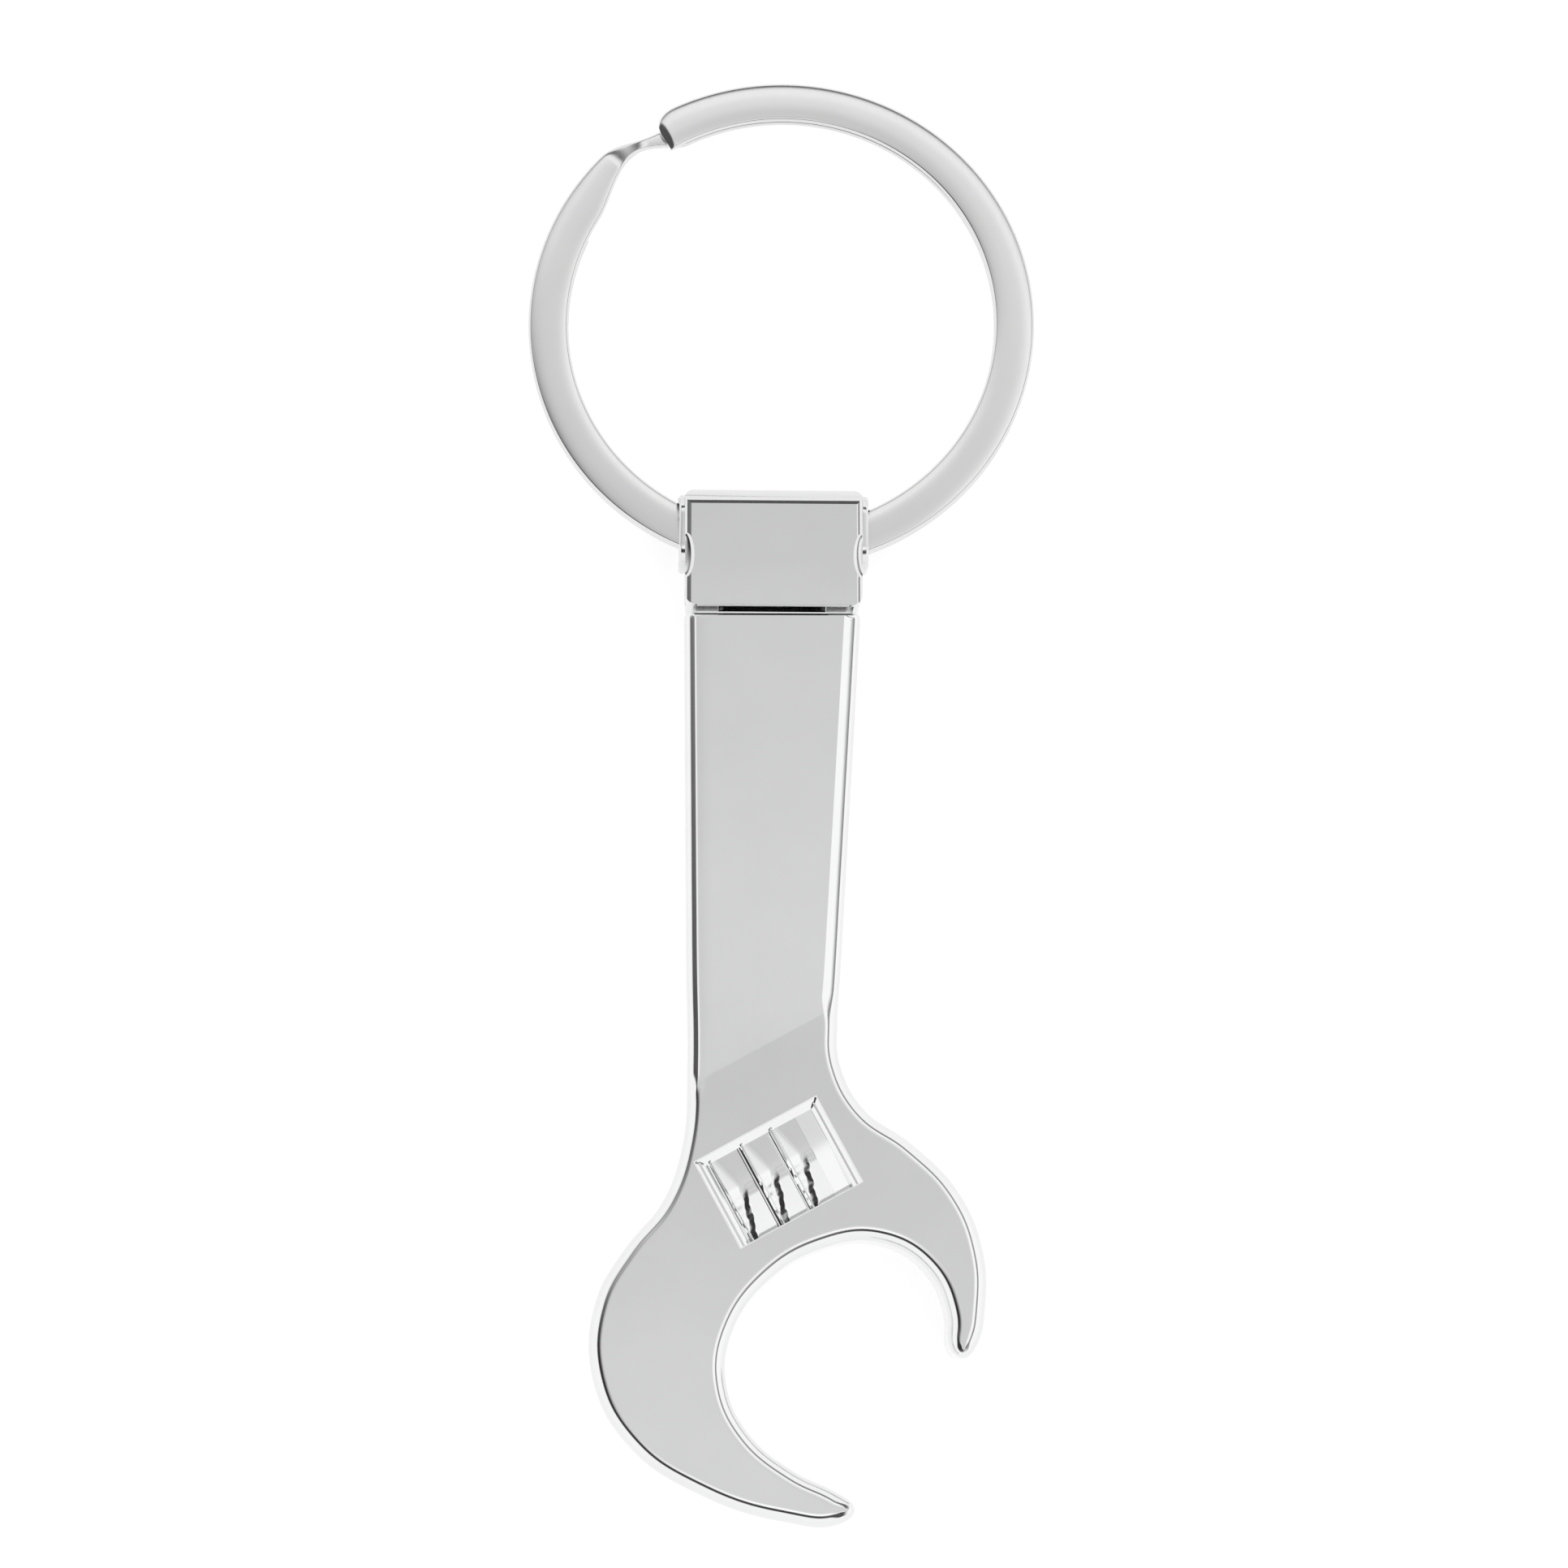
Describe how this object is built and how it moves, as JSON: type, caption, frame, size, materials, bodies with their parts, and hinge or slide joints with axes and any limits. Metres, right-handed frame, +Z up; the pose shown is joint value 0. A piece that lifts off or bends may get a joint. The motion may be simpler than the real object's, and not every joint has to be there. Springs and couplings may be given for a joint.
{
  "type": "keychain bottle opener",
  "caption": "Keychain bottle opener shaped like a small adjustable wrench, with a hooked open head, a hinged hollow link and a flat split key ring.",
  "frame": {"origin": "middle of the bounding box's footprint, on the surface that the opener lies on", "axes": "+Y from the head to the key ring, +Z up out of the front face, +X to the right with the ring at the top"},
  "size_m": [0.03, 0.0853, 0.0045],
  "materials": {
    "bright_chrome": "polished chrome plate",
    "link_chrome": "polished chrome plate",
    "pin_steel": "plain steel",
    "ring_nickel": "satin nickel plate"
  },
  "bodies": {
    "wrench": {"wrench_body": "bright_chrome"},
    "link": {"link": "link_chrome", "hinge_pin": "pin_steel"},
    "ring": {"split_ring": "ring_nickel"}
  },
  "joints": [
    {"name": "link_hinge", "type": "hinge", "parent": "wrench", "child": "link", "pos_m": [-0.00055, 0.01095, 0.002], "axis": [1, 0, 0], "range_deg": [-8, 8]},
    {"name": "ring_swing", "type": "hinge", "parent": "link", "child": "ring", "pos_m": [0, 0.0141, 0.00202], "axis": [1, 0, 0], "range_deg": [-27, 52]}
  ]
}
